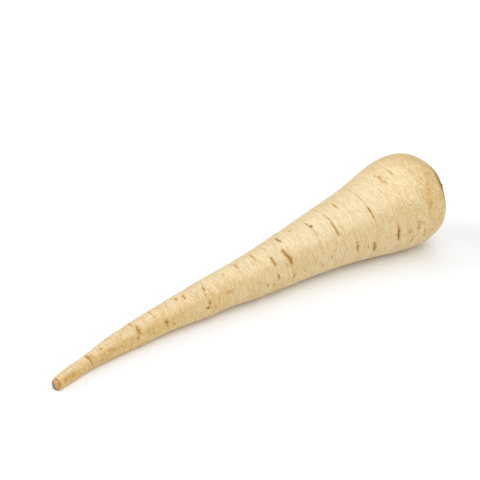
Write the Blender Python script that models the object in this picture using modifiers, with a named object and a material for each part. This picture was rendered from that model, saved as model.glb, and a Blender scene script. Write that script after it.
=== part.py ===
"""A parsnip lying on its side, at its real size.

Two solids are made: the cream taproot, and the brown crown that sits in a shallow seat on top of it with
the stubs of its cut leaf stalks. The root is a turned profile, roughened by formulas and laid along a
shallow curve. Metres, +Z up, tip towards -X, crown towards +X, origin under the middle at the bottom.
"""
import math
import random
from dataclasses import dataclass, replace

import bmesh
import bpy
import numpy as np
from mathutils import Matrix, Vector

MM = 0.001
GAP = 0.3 * MM                     # left between the crown and its seat

# The taproot's profile: a straight taper, a flare that comes in late, and a rounded shoulder.
LENGTH = 240.0 * MM
TIP_RADIUS = 2.7 * MM
TAPER = 0.0705                     # radius gained for each metre of length
FLARE = 13.4 * MM                  # what the shoulder gains over the straight taper
FLARE_POWER = 4.16
SHOULDER_START = 178.6 * MM
SHOULDER_POWER = 6.97              # higher keeps the shoulder full for longer
SHOULDER_ROUNDING = 1.43
TIP_BEVEL = 0.45 * MM
TIP_SLANT = 0.9 * MM               # how far the snapped tip leans out of square

# The line that the root follows: y is its swing to the side, z its height over the surface.
TIP_SWING = 8.7 * MM
TIP_SWING_END = 79.7 * MM
TIP_SWING_POWER = 2.76
CROWN_SWING = 5.6 * MM
CROWN_SWING_START = 137.9 * MM
MIDDLE_LIFT = 1.2 * MM             # the middle stands clear of the surface by this much
LIFT_START = 15.0 * MM
LIFT_END = 195.0 * MM
NOD_LENGTH = 30.0 * MM             # past LIFT_END the line levels off and dips over this length
SHOULDER_SINK = 0.6 * MM           # pressed away under the shoulder, which leaves the flat it rests on
SINK_MIDDLE = 198.0 * MM
SINK_WIDTH = 26.0 * MM
TIP_SINK = 0.25 * MM
TIP_SINK_MIDDLE = 13.0 * MM
TIP_SINK_WIDTH = 10.0 * MM

# The crown and its seat.
CROWN_RADIUS = 10.0 * MM
SEAT_DEPTH = 1.2 * MM
STRAIGHT_FROM = 233.0 * MM         # the root's line is straight from here on, so the crown fits its seat
CROWN_COLLAR = 0.5 * MM            # the crown's rim stands this far proud of the skin
CROWN_DOME = 1.3 * MM
CROWN_RINGS = 3
CROWN_RING_HEIGHT = 0.25 * MM
STUB_ROOT = 1.2 * MM               # how far a stub runs down into the crown
STUB_LEAN = 0.5 * MM               # how far its top leans towards the middle
HORN_THINNING = 0.55               # share of a stub's thickness lost at its two horns
HORN_DROP = 0.35                   # share of its height lost there
TOP_THINNING = 0.25                # share of its thickness lost at its cut top
CUT_SLANT = 0.12                   # how much lower the knife left its outer edge

# Mesh fineness.
ROUND_STEPS = 44
CROWN_STEPS = 36
STATION_STEP = 3.1 * MM
SHOULDER_TURNS = 14
CREASE_WIDTH = 0.9 * MM
STUB_CUTS = 4

# Ring creases, by their distance from the tip in millimetres.
RING_STATIONS = (18, 26, 31.5, 45.5, 56.5, 61.5, 75.5, 85, 99, 107.5, 117.5, 125.5, 134, 144.5, 154,
                 165.5, 174, 184.5, 187.5, 199, 209)
RING_DEPTH = 0.12 * MM
RING_WAVE = 0.7 * MM               # a ring wanders this far along the root
RING_DRIFT = 40.0                  # radians that the wander turns in each metre of root
SKIN_FADE = 6.0 * MM               # the relief dies away over this length below the seat
HIDDEN_SIDE = (125, 315)           # degrees round the root from its top, away from the listed scars
SCARS_A_RING = 2
SEED = 17

SKIN = (0.76, 0.60, 0.34, 1.0)
CORK = (0.22, 0.15, 0.08, 1.0)


@dataclass(frozen=True)
class Scar:
    """A sunk, lens-shaped mark across the root where a side root grew."""

    station: float                 # distance from the tip, millimetres
    angle: float                   # its middle, degrees from the top towards -Y
    span: float                    # degrees from end to end
    depth: float                   # millimetres


SCARS = (
    Scar(18, 8, 90, 0.45),
    Scar(26, 18, 30, 0.2),
    Scar(45.5, 52, 80, 0.4),
    Scar(61.5, 74, 34, 0.35),
    Scar(75.5, 10, 40, 0.4),
    Scar(85, 20, 40, 0.3),
    Scar(85, 84, 24, 0.35),
    Scar(107.5, 6, 40, 0.4),
    Scar(117.5, 6, 40, 0.3),
    Scar(125.5, 45, 44, 0.5),
    Scar(125.5, 86, 26, 0.35),
    Scar(134, 48, 56, 0.7),
    Scar(134, -3, 36, 0.45),
    Scar(154, 24, 58, 0.4),
    Scar(165.5, 36, 60, 0.6),
    Scar(174, 0, 36, 0.4),
    Scar(174, 88, 34, 0.4),
    Scar(184.5, 101, 34, 0.5),
    Scar(187.5, 47, 38, 0.5),
    Scar(199, 96, 38, 0.6),
    Scar(209, 10, 44, 0.3),
)


@dataclass(frozen=True)
class Lump:
    """A gentle swelling or hollow of the root's flank."""

    station: float                 # millimetres
    angle: float                   # degrees
    length: float                  # millimetres along the root
    spread: float                  # degrees round it
    height: float                  # millimetres, negative for a hollow


LUMPS = (
    Lump(3, 135, 9, 80, 0.35),
    Lump(6, 313, 12, 80, 0.4),
    Lump(19, 137, 12, 70, -0.45),
    Lump(20, 314, 13, 80, -0.4),
    Lump(46, 142, 20, 60, 0.4),
    Lump(75, 220, 30, 60, 0.4),
    Lump(115, 318, 24, 60, -0.5),
    Lump(121, 140, 26, 55, 0.6),
    Lump(140, 240, 30, 50, -0.5),
    Lump(166, 318, 24, 60, 0.4),
    Lump(169, 140, 24, 55, -0.5),
    Lump(195, 250, 26, 45, 0.5),
    Lump(202, 145, 18, 45, 0.7),
    Lump(222, 333, 17, 55, 0.8),
    Lump(225, 131, 14, 40, -1.35),
    Lump(232, 91, 9, 40, 0.45),
)


@dataclass(frozen=True)
class Whorl:
    """One ring of leaf-stalk stubs on the crown."""

    count: int
    radius: float                  # to the middle of a stub, millimetres
    span: float                    # degrees that one stub takes up
    thickness: float               # millimetres
    height: float                  # millimetres over the crown
    turn: float                    # degrees by which the whorl is turned


WHORLS = (
    Whorl(6, 8.4, 50, 1.5, 1.7, 8),
    Whorl(5, 5.6, 58, 1.4, 2.6, 40),
    Whorl(3, 3.0, 84, 1.3, 3.4, 15),
    Whorl(1, 9.0, 20, 1.6, 4.6, 42),   # the one stalk that was cut longer than the rest
)


# ---------------------------------------------------------------- the root's form

def smooth_bump(distance, width):
    """Fall smoothly from 1 at no distance to 0 at the given width and past it."""
    reach = np.clip(np.abs(distance) / width, 0.0, 1.0)
    return (1.0 - reach * reach) ** 2


def angle_between(first, second):
    """Give the signed turn from the second angle to the first, within half a circle."""
    return (first - second + math.pi) % (2.0 * math.pi) - math.pi


def full_radius(station):
    """Give the radius before the shoulder rounds it off."""
    return TIP_RADIUS + TAPER * station + FLARE * (station / LENGTH) ** FLARE_POWER


def root_radius(station):
    """Give the smooth root's radius at a distance from the tip."""
    reach = min(max((station - SHOULDER_START) / (LENGTH - SHOULDER_START), 0.0), 1.0)
    return full_radius(station) * (1.0 - reach ** SHOULDER_POWER) ** (1.0 / SHOULDER_ROUNDING)


def seat_station():
    """Find how far along the root its rounded top is as wide as the crown's seat."""
    low, high = SHOULDER_START, LENGTH
    for _ in range(40):
        middle = 0.5 * (low + high)
        if root_radius(middle) > CROWN_RADIUS + GAP:
            low = middle
        else:
            high = middle
    return low


def line_height(station):
    """Give the height of the root's line over the surface."""
    reach = min(max((station - LIFT_START) / (LIFT_END - LIFT_START), 0.0), 1.0)
    height = full_radius(min(station, LIFT_END)) + MIDDLE_LIFT * math.sin(math.pi * reach) ** 2
    slope = TAPER + FLARE * FLARE_POWER / LENGTH * (LIFT_END / LENGTH) ** (FLARE_POWER - 1.0)
    past = max(station - LIFT_END, 0.0)
    height += slope * (past - past * past / (2.0 * NOD_LENGTH))
    height -= SHOULDER_SINK * float(smooth_bump(station - SINK_MIDDLE, 2.0 * SINK_WIDTH))
    height -= TIP_SINK * float(smooth_bump(station - TIP_SINK_MIDDLE, 2.0 * TIP_SINK_WIDTH))
    return height


def line_point(station):
    """Give the point on the root's line at a distance from the tip."""
    tip_reach = min(max(1.0 - station / TIP_SWING_END, 0.0), 1.0)
    crown_reach = max((station - CROWN_SWING_START) / (LENGTH - CROWN_SWING_START), 0.0)
    swing = -TIP_SWING * tip_reach ** TIP_SWING_POWER - CROWN_SWING * crown_reach ** 2
    return Vector((station, swing, line_height(station)))


def line_frame(station):
    """Give the frame at a station: its x axis points up, its y axis to -Y and its z axis to the crown."""
    at = min(max(station, MM), STRAIGHT_FROM)
    forward = (line_point(at + 0.5 * MM) - line_point(at - 0.5 * MM)).normalized()
    side = forward.cross(Vector((0.0, 0.0, 1.0))).normalized()
    up = side.cross(forward)
    origin = line_point(at) + forward * (station - at)
    frame = Matrix((up, side, forward)).transposed().to_4x4()
    frame.translation = origin
    return frame


def all_scars():
    """Give the listed scars, and drawn ones on the same rings round the hidden side."""
    draw = random.Random(SEED)
    scars = list(SCARS)
    low, high = HIDDEN_SIDE
    share = (high - low) / SCARS_A_RING
    for station in RING_STATIONS:
        for place in range(SCARS_A_RING):
            angle = low + share * (place + draw.uniform(0.2, 0.8))
            scars.append(Scar(station, angle, draw.uniform(26, 54), draw.uniform(0.25, 0.55)))
    return scars


def skin_relief(station, angle, scars):
    """Give how far the skin stands out of the smooth root, negative where it is sunk."""
    height = 0.0
    for lump in LUMPS:
        along = smooth_bump(station - lump.station * MM, lump.length * MM)
        around = smooth_bump(angle_between(angle, math.radians(lump.angle)), math.radians(lump.spread))
        height += float(lump.height * MM * along * around)
    for ring in RING_STATIONS:
        across = float(smooth_bump(station - ring * MM, 1.5 * CREASE_WIDTH))
        height -= RING_DEPTH * across
    for scar in scars:
        across = float(smooth_bump(station - scar.station * MM, 1.5 * CREASE_WIDTH))
        if across:
            turn = angle_between(angle, math.radians(scar.angle))
            height -= scar.depth * MM * across * float(smooth_bump(turn, math.radians(0.6 * scar.span)))
    fade = 1.0 - float(smooth_bump(station - LENGTH, SKIN_FADE))
    return height * fade


def ring_wave(station, angle):
    """Give how far the rings wander along the root, so that none of them is a true circle."""
    steady = float(smooth_bump(station - 0.45 * LENGTH, 0.5 * LENGTH))
    drift = RING_DRIFT * station
    wander = math.sin(angle + drift) + 0.5 * math.sin(2.0 * (angle - drift))
    return RING_WAVE * steady * wander / 1.5


def profile_stations():
    """List the distances from the tip at which the profile has a point, closer at each crease."""
    creases = [ring * MM + offset * CREASE_WIDTH for ring in RING_STATIONS for offset in (-1, 0, 1)]
    last = RING_STATIONS[-1] * MM + 2.0 * CREASE_WIDTH
    count = round(last / STATION_STEP)
    even = [last * (index + 1) / count for index in range(count)]
    clear = [place for place in even if min(abs(place - crease) for crease in creases) > 0.4 * STATION_STEP]
    top = seat_station()
    turns = [last + (top - last) * math.sin(0.5 * math.pi * (index + 1) / SHOULDER_TURNS)
             for index in range(SHOULDER_TURNS)]
    return sorted([TIP_BEVEL] + creases + clear) + turns


# ---------------------------------------------------------------- modelling helpers

def new_material(name, colour, roughness):
    """Make a plain Principled material."""
    material = bpy.data.materials.new(name)
    material.use_nodes = True
    shader = material.node_tree.nodes["Principled BSDF"]
    shader.inputs["Base Color"].default_value = colour
    shader.inputs["Roughness"].default_value = roughness
    shader.inputs["Metallic"].default_value = 0.0
    return material


def apply_modifiers(item):
    """Replace an object's mesh with what its modifiers make of it."""
    evaluated = item.evaluated_get(bpy.context.evaluated_depsgraph_get())
    mesh = bpy.data.meshes.new_from_object(evaluated)
    item.modifiers.clear()
    item.data = mesh


def turned(name, profile, steps, collection):
    """Turn a profile of (radius, height) points, listed from top to bottom, round the Z axis."""
    mesh = bpy.data.meshes.new(name)
    points = [(radius, 0.0, height) for radius, height in profile]
    mesh.from_pydata(points, [(index, index + 1) for index in range(len(points) - 1)], [])
    item = bpy.data.objects.new(name, mesh)
    collection.objects.link(item)
    screw = item.modifiers.new("Turn", "SCREW")
    screw.steps = steps
    screw.render_steps = steps
    screw.use_merge_vertices = True
    screw.merge_threshold = 0.01 * MM
    bpy.context.view_layer.update()
    apply_modifiers(item)
    return item


def finish(item, material):
    """Give a piece its material and smooth shading."""
    item.data.materials.clear()
    item.data.materials.append(material)
    item.data.shade_smooth()


# ---------------------------------------------------------------- the pieces

def make_taproot(collection):
    """Make the taproot: turned, roughened along its normals, then laid along its curve."""
    top = seat_station()
    stations = profile_stations()
    floor = top - SEAT_DEPTH
    seat = [(0.0, floor), (0.5 * CROWN_RADIUS, floor), (CROWN_RADIUS + GAP, floor)]
    sides = [(root_radius(station), station) for station in reversed(stations)]
    tip = [(TIP_RADIUS - TIP_BEVEL, 0.0), (0.0, 0.0)]
    root = turned("taproot", seat + sides + tip, ROUND_STEPS, collection)
    scars = all_scars()
    seat_edge = CROWN_RADIUS + 2.0 * GAP
    outward = [vertex.normal.copy() for vertex in root.data.vertices]
    for vertex, normal in zip(root.data.vertices, outward):
        station = vertex.co.z
        angle = math.atan2(vertex.co.y, vertex.co.x)
        radius = math.hypot(vertex.co.x, vertex.co.y)
        place = vertex.co.copy()
        on_skin = radius > seat_edge or station < floor
        if on_skin and station > TIP_BEVEL:
            place += normal * skin_relief(station, angle, scars)
            place.z += ring_wave(station, angle)
        else:
            slant = 1.0 - min(station / (4.0 * TIP_SLANT), 1.0)
            place.z += slant * TIP_SLANT * place.x / TIP_RADIUS
        frame = line_frame(place.z)
        laid = frame @ Vector((place.x, place.y, 0.0))
        laid.z = max(laid.z, 0.0)
        vertex.co = laid
    finish(root, new_material("Parsnip skin", SKIN, 0.55))
    return root


def crown_height(radius):
    """Give the crown's top over the foot of its seat, domed and with low rings."""
    reach = radius / CROWN_RADIUS
    ripple = 0.5 - 0.5 * math.cos(2.0 * math.pi * CROWN_RINGS * reach)
    return SEAT_DEPTH + CROWN_COLLAR + CROWN_DOME * (1.0 - reach * reach) + CROWN_RING_HEIGHT * ripple


def make_stub(whorl, turn, collection):
    """Make one crescent stub of a cut leaf stalk, horns towards the crown's middle."""
    shape = bmesh.new()
    bmesh.ops.create_cube(shape, size=2.0)
    along = [edge for edge in shape.edges if abs(edge.verts[0].co.y - edge.verts[1].co.y) > 1.0]
    bmesh.ops.subdivide_edges(shape, edges=along, cuts=STUB_CUTS, use_grid_fill=True)
    base = crown_height(whorl.radius * MM) - STUB_ROOT
    for vertex in shape.verts:
        across, reach, rise = vertex.co
        lifted = 0.5 * (rise + 1.0)
        angle = 0.5 * math.radians(whorl.span) * reach
        thinned = (1.0 - HORN_THINNING * reach * reach) * (1.0 - TOP_THINNING * lifted)
        tall = STUB_ROOT + whorl.height * MM * (1.0 - HORN_DROP * reach * reach - CUT_SLANT * across)
        radius = whorl.radius * MM - STUB_LEAN * lifted + 0.5 * across * whorl.thickness * MM * thinned
        vertex.co = Vector((radius * math.cos(angle), radius * math.sin(angle), base + tall * lifted))
    bmesh.ops.recalc_face_normals(shape, faces=shape.faces)
    bmesh.ops.triangulate(shape, faces=shape.faces)
    mesh = bpy.data.meshes.new("stub")
    shape.to_mesh(mesh)
    shape.free()
    stub = bpy.data.objects.new("stub", mesh)
    stub.matrix_world = Matrix.Rotation(turn, 4, "Z")
    collection.objects.link(stub)
    return stub


def make_crown(collection, pieces):
    """Make the corky crown with its whorls of stubs, and set it in its seat on the taproot."""
    rings = [(0.0, crown_height(0.0))]
    for index in range(1, 4 * CROWN_RINGS + 1):
        radius = CROWN_RADIUS * index / (4 * CROWN_RINGS)
        rings.append((radius, crown_height(radius)))
    foot = [(CROWN_RADIUS, GAP), (0.5 * CROWN_RADIUS, GAP), (0.0, GAP)]
    crown = turned("crown", rings + foot, CROWN_STEPS, collection)
    draw = random.Random(SEED)
    for whorl in WHORLS:
        for index in range(whorl.count):
            turn = whorl.turn + 360.0 * index / whorl.count + draw.uniform(-5.0, 5.0)
            grown = replace(whorl, height=whorl.height * draw.uniform(0.8, 1.15))
            make_stub(grown, math.radians(turn), pieces)
    union = crown.modifiers.new("Stubs", "BOOLEAN")
    union.operation = "UNION"
    union.operand_type = "COLLECTION"
    union.collection = pieces
    bpy.context.view_layer.update()
    apply_modifiers(crown)
    for stub in list(pieces.objects):
        bpy.data.objects.remove(stub, do_unlink=True)
    crown.matrix_world = line_frame(seat_station() - SEAT_DEPTH)
    finish(crown, new_material("Crown cork", CORK, 0.85))
    return crown


def stand_on_origin(parts):
    """Move the parts so that the origin is under the middle of their box."""
    corners = np.array([part.matrix_world @ vertex.co for part in parts for vertex in part.data.vertices])
    low, high = corners.min(axis=0), corners.max(axis=0)
    shift = Vector((-0.5 * (low[0] + high[0]), -0.5 * (low[1] + high[1]), -low[2]))
    for part in parts:
        part.matrix_world = Matrix.Translation(shift) @ part.matrix_world


def main():
    """Build the parsnip in an empty scene."""
    for item in list(bpy.data.objects):
        bpy.data.objects.remove(item, do_unlink=True)
    parsnip = bpy.data.collections.new("Parsnip")
    pieces = bpy.data.collections.new("Joined pieces")
    for collection in (parsnip, pieces):
        bpy.context.scene.collection.children.link(collection)
    taproot = make_taproot(parsnip)
    crown = make_crown(parsnip, pieces)
    bpy.context.view_layer.update()
    stand_on_origin((taproot, crown))
    bpy.context.view_layer.update()


if __name__ == "__main__":
    main()
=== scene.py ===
"""The looks of a whole parsnip that lies on its side on a pale ground.

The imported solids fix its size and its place. This script lays a fine skin with its creases, scars and
flecks over the taproot, models the corky crown with the stubs of its cut leaf stalks, and adds the
ground, the lights and the camera. Metres, +Z up, tip towards -X, crown towards +X.
"""
import logging
import math
import random
from dataclasses import dataclass, replace
from enum import Enum

import bpy
import numpy as np
from mathutils import Euler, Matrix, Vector


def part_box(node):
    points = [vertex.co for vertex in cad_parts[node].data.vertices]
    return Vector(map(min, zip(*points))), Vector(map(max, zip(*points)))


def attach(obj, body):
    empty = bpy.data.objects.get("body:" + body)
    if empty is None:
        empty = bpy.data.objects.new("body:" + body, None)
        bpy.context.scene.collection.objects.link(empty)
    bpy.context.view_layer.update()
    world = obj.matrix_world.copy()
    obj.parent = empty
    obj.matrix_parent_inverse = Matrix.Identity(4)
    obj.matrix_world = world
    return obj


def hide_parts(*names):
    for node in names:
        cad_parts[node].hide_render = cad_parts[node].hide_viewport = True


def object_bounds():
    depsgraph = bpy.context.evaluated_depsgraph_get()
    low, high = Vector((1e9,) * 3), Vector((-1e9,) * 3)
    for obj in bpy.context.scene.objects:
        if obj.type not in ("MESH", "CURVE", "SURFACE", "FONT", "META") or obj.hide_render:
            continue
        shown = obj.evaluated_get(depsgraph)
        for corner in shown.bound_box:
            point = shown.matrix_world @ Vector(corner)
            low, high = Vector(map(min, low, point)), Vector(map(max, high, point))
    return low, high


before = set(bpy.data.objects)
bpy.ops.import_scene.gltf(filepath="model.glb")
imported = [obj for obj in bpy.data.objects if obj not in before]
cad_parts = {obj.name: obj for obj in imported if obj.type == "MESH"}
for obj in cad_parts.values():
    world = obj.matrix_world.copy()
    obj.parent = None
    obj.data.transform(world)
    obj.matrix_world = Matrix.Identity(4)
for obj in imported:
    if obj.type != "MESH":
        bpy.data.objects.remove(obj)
SOLID_BOX = [list(corner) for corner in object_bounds()]

LOG = logging.getLogger("parsnip")
MM = 0.001
FULL_TURN = 2.0 * math.pi
WHITE = (1.0, 1.0, 1.0, 1.0)
# The fifth tone is a painted highlight: the top of the root is made paler where the light falls.
TONES = ("stain", "blotch", "fleck", "warmth", "painted_highlight", "spots", "lined")

Array = np.ndarray
Socket = bpy.types.NodeSocket
Colour = tuple[float, float, float]
Ends = tuple[float, float]
Shares = tuple[float, ...]


# ---------------------------------------------------------------- arithmetic on whole arrays

def smooth_bump(distance: Array, width: float | Array) -> Array:
    """Fall from 1 at no distance to 0 at a width: the square of one less the squared share of it."""
    reach = np.clip(np.abs(distance) / width, 0.0, 1.0)
    return (1.0 - reach * reach) ** 2


def smooth_step(value: Array, low: float | Array, high: float | Array) -> Array:
    """Rise from 0 at low to 1 at high along a cubic that is level at both ends."""
    share = np.clip((value - low) / (high - low), 0.0, 1.0)
    return share * share * (3.0 - 2.0 * share)


def turn_between(first: Array, second: float | Array) -> Array:
    """Give the signed turn from the second angle to the first, within half a circle, in radians."""
    return (first - second + math.pi) % FULL_TURN - math.pi


def bump_round(angle: Array, middle: float, width: float) -> Array:
    """Give a smooth bump round the root, from angles in radians and its middle and width in degrees."""
    return smooth_bump(turn_between(angle, math.radians(middle)), math.radians(width))


def even_turn(count: int) -> Array:
    """Divide a full turn into even steps, in radians."""
    return np.arange(count) * FULL_TURN / count


def run_along(first: Array, second: Array) -> Array:
    """Add up the straight steps from point to point of a flat curve, from 0 at its start."""
    return np.concatenate([[0.0], np.cumsum(np.hypot(np.diff(first), np.diff(second)))])


@dataclass(frozen=True)
class Grain:
    """Seeded smooth noise on a surface that closes on itself round an axis.

    A lattice of random heights is drawn once. Between its knots the height is blended along both ways
    with the cubic of smooth_step, and the last column joins the first.
    """

    seed: int
    rows: int
    columns: int

    def at(self, along: Array, around: Array) -> Array:
        """Read the noise.

        Args:
            along: places from 0 at one end to 1 at the other.
            around: angles in radians.

        Returns:
            Heights from -1 to 1, in the shape of the places.
        """
        lattice = np.random.default_rng(self.seed).uniform(-1.0, 1.0, (self.rows + 2, self.columns))
        row = np.clip(along, 0.0, 1.0) * self.rows
        column = (around / FULL_TURN % 1.0) * self.columns
        low_row, low_column = np.floor(row).astype(int), np.floor(column).astype(int)
        up, over = smooth_step(row - low_row, 0.0, 1.0), smooth_step(column - low_column, 0.0, 1.0)
        left, right = low_column % self.columns, (low_column + 1) % self.columns
        near, far = (lattice[knots, left] * (1.0 - over) + lattice[knots, right] * over
                     for knots in (low_row, low_row + 1))
        return near * (1.0 - up) + far * up


# ---------------------------------------------------------------- meshes

def put(name: str, data: bpy.types.ID) -> bpy.types.Object:
    """Put a new object with its data into the scene, at the origin."""
    item = bpy.data.objects.new(name, data)
    bpy.context.scene.collection.objects.link(item)
    return item


@dataclass
class Surface:
    """A closed surface of rings of points with named values, whose poles are the means of its end rings."""

    rings: Array
    values: dict[str, Array]

    def with_poles(self, grid: Array) -> Array:
        """List a grid ring by ring, then the mean of its first ring and the mean of its last."""
        ends = [grid[0].mean(axis=0), grid[-1].mean(axis=0)]
        return np.concatenate([grid.reshape((-1,) + grid.shape[2:]), np.stack(ends)])

    def corners(self) -> tuple[Array, Array]:
        """Join the points into faces that look outwards.

        A quad runs round the ring first and then to the next ring. A fan of triangles closes each end.

        Returns:
            The quads and the triangles, as rows of point numbers.
        """
        count, columns = self.rings.shape[:2]
        number = np.arange(count * columns).reshape(count, columns)
        onward = np.roll(number, -1, axis=1)
        quads = np.stack([number[:-1], onward[:-1], onward[1:], number[1:]], axis=-1).reshape(-1, 4)
        pole = np.full(columns, count * columns)
        near_end = np.stack([pole, onward[0], number[0]], axis=-1)
        far_end = np.stack([pole + 1, number[-1], onward[-1]], axis=-1)
        return quads, np.concatenate([near_end, far_end])


def mesh_from(name: str, surfaces: list[Surface]) -> bpy.types.Object:
    """Put surfaces into one mesh object, which stands at the origin.

    Args:
        name: the piece's name.
        surfaces: closed surfaces that carry the same named values.

    Returns:
        The new object, shaded smooth, with each named value as an attribute of its points.
    """
    points, quads, triangles, start = [], [], [], 0
    for surface in surfaces:
        own_quads, own_triangles = surface.corners()
        points.append(surface.with_poles(surface.rings))
        quads.append(own_quads + start)
        triangles.append(own_triangles + start)
        start += len(points[-1])
    quads, triangles = np.concatenate(quads), np.concatenate(triangles)
    sides = np.concatenate([np.full(len(quads), 4), np.full(len(triangles), 3)])
    mesh = bpy.data.meshes.new(name)
    mesh.vertices.add(start)
    mesh.vertices.foreach_set("co", np.concatenate(points).astype(np.float32).ravel())
    mesh.loops.add(int(sides.sum()))
    mesh.loops.foreach_set("vertex_index", np.concatenate([quads.ravel(), triangles.ravel()]))
    mesh.polygons.add(len(sides))
    mesh.polygons.foreach_set("loop_start", np.concatenate([[0], np.cumsum(sides)[:-1]]))
    for value_name, value in surfaces[0].values.items():
        is_vector = value.ndim == 3
        layer = mesh.attributes.new(value_name, "FLOAT_VECTOR" if is_vector else "FLOAT", "POINT")
        whole = np.concatenate([surface.with_poles(surface.values[value_name]) for surface in surfaces])
        layer.data.foreach_set("vector" if is_vector else "value", whole.astype(np.float32).ravel())
    mesh.update(calc_edges=True)
    mesh.validate()
    mesh.shade_smooth()
    return put(name, mesh)


# ---------------------------------------------------------------- node trees

class Bench:
    """A work bench for one node tree: it adds nodes, sets their sockets and joins them."""

    def __init__(self, tree: bpy.types.NodeTree) -> None:
        """Take the tree to work on."""
        self.tree = tree

    def add(self, kind: str, sockets: dict | None = None, **settings: object) -> bpy.types.Node:
        """Add a node.

        Args:
            kind: the node's type name.
            sockets: for each input name or number, a value to set or an output to join to it.
            settings: the node's own settings.

        Returns:
            The new node.
        """
        node = self.tree.nodes.new(kind)
        for name, value in settings.items():
            setattr(node, name, value)
        for name, value in (sockets or {}).items():
            socket = node.inputs[name]
            if isinstance(value, Socket):
                self.tree.links.new(value, socket)
            elif socket.type == "RGBA":
                socket.default_value = (*value, 1.0)
            else:
                socket.default_value = value
        return node

    def read(self, name: str, kind: str = "Fac") -> Socket:
        """Read a named value of the surface's points, or with Vector as its kind a named vector."""
        return self.add("ShaderNodeAttribute", attribute_name=name).outputs[kind]

    def sum_up(self, how: str, first: object, second: object) -> Socket:
        """Do one sum on two values, kept within 0 and 1."""
        return self.add("ShaderNodeMath", {0: first, 1: second}, operation=how,
                        use_clamp=True).outputs["Value"]

    def times(self, first: object, second: object) -> Socket:
        """Multiply two values, kept within 0 and 1."""
        return self.sum_up("MULTIPLY", first, second)

    def carry(self, value: object, ends: Ends, new_ends: Ends = (0.0, 1.0), how: str = "LINEAR") -> Socket:
        """Carry a value from one pair of ends to another, and hold it within them."""
        return self.add("ShaderNodeMapRange", {
            "Value": value, "From Min": ends[0], "From Max": ends[1],
            "To Min": new_ends[0], "To Max": new_ends[1]}, interpolation_type=how).outputs["Result"]

    def grade(self, value: object, ends: Ends) -> Socket:
        """Grade a value from 0 at the first end to 1 at the second along a smooth step."""
        return self.carry(value, ends, how="SMOOTHSTEP")

    def crease(self, value: object, width: float) -> Socket:
        """Draw a line where a value passes one half, fading out at a width to either side."""
        return self.grade(self.sum_up("PINGPONG", value, 0.5), (0.5 - width, 0.5))

    def mix(self, share: object, first: object, second: object) -> Socket:
        """Mix two colours by a share."""
        return self.add("ShaderNodeMix", {0: share, 6: first, 7: second}, data_type="RGBA").outputs[2]

    def noise(self, place: Socket, cells: Ends, detail: float, roughness: float) -> Socket:
        """Read noise whose cells are counted to the metre, first along the root and then across it."""
        spread = self.add("ShaderNodeMapping", {"Vector": place, "Scale": (cells[0], cells[1], cells[1])})
        return self.add("ShaderNodeTexNoise", {"Vector": spread.outputs["Vector"], "Scale": 1.0,
                                               "Detail": detail, "Roughness": roughness}).outputs["Fac"]


def mottle_group() -> bpy.types.NodeTree:
    """Build the effect that every finish shares: soft patches of a second colour, broken by a finer grain.

    Returns:
        A node group that turns a place and two colours into a colour and the height of its grain.
    """
    patch_edge, grain_edge = (0.46, 0.66), (0.32, 0.62)
    tree = bpy.data.node_groups.new("Mottle", "ShaderNodeTree")
    for name, kind in (("Place", "Vector"), ("Patches", "Float"), ("Grain", "Float"),
                       ("Amount", "Float"), ("Ground", "Color"), ("Spots", "Color")):
        tree.interface.new_socket(name=name, in_out="INPUT", socket_type="NodeSocket" + kind)
    for name, kind in (("Colour", "Color"), ("Height", "Float")):
        tree.interface.new_socket(name=name, in_out="OUTPUT", socket_type="NodeSocket" + kind)
    bench = Bench(tree)
    given = bench.add("NodeGroupInput").outputs
    patches, grain = (bench.add("ShaderNodeTexNoise", {
        "Vector": given["Place"], "Scale": given[scale], "Detail": detail,
        "Roughness": roughness}).outputs["Fac"] for scale, detail, roughness in (
            ("Patches", 3.0, 0.6), ("Grain", 2.0, 0.55)))
    broken = bench.times(bench.grade(patches, patch_edge), bench.grade(grain, grain_edge))
    colour = bench.mix(bench.times(broken, given["Amount"]), given["Ground"], given["Spots"])
    bench.add("NodeGroupOutput", {"Colour": colour, "Height": grain})
    return tree


@dataclass(frozen=True)
class Finish:
    """What every finish is set from; each kind adds its own colours and nodes."""

    name: str
    roughness: float
    specular: float
    line_share: float = 0.6
    mottle_cells: Ends = (260.0, 1000.0)

    def start(self) -> tuple[bpy.types.Material, Bench, bpy.types.Node]:
        """Make the material with its plain values.

        Returns:
            The material, a bench for its nodes and its shader.
        """
        material = bpy.data.materials.new(self.name)
        material.use_nodes = True
        shader = material.node_tree.nodes["Principled BSDF"]
        shader.inputs["Roughness"].default_value = self.roughness
        shader.inputs["Specular IOR Level"].default_value = self.specular
        shader.inputs["Metallic"].default_value = 0.0
        return material, Bench(material.node_tree), shader

    def lay_mottle(self, bench: Bench, mottle: bpy.types.NodeTree, place: Socket, amount: object,
                   colours: tuple[Socket, object]) -> tuple[Socket, Socket]:
        """Lay the mottle over a ground with spots of a second colour; give its colour and its height."""
        node = bench.add("ShaderNodeGroup", {
            "Place": place, "Patches": self.mottle_cells[0], "Grain": self.mottle_cells[1],
            "Amount": amount, "Ground": colours[0], "Spots": colours[1]}, node_tree=mottle)
        return node.outputs["Colour"], node.outputs["Height"]

    def dress(self, bench: Bench, shader: bpy.types.Node, colour: Socket, rough: Socket,
              heights: tuple[Socket, Socket], depth: float) -> None:
        """Join what was worked out to the shader.

        Args:
            bench: the bench of the material's nodes.
            shader: the material's shader.
            colour: the colour over the surface.
            rough: the roughness over the surface.
            heights: the heights of the lines and of the mottle's grain, which are added by their shares.
            depth: how deep a full height stands, in metres.
        """
        height = bench.sum_up("ADD", bench.times(heights[0], self.line_share),
                              bench.times(heights[1], 1.0 - self.line_share))
        bump = bench.add("ShaderNodeBump", {"Height": height, "Distance": depth, "Strength": 1.0})
        for output, name in ((colour, "Base Color"), (rough, "Roughness"),
                             (bump.outputs["Normal"], "Normal")):
            bench.tree.links.new(output, shader.inputs[name])


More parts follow.
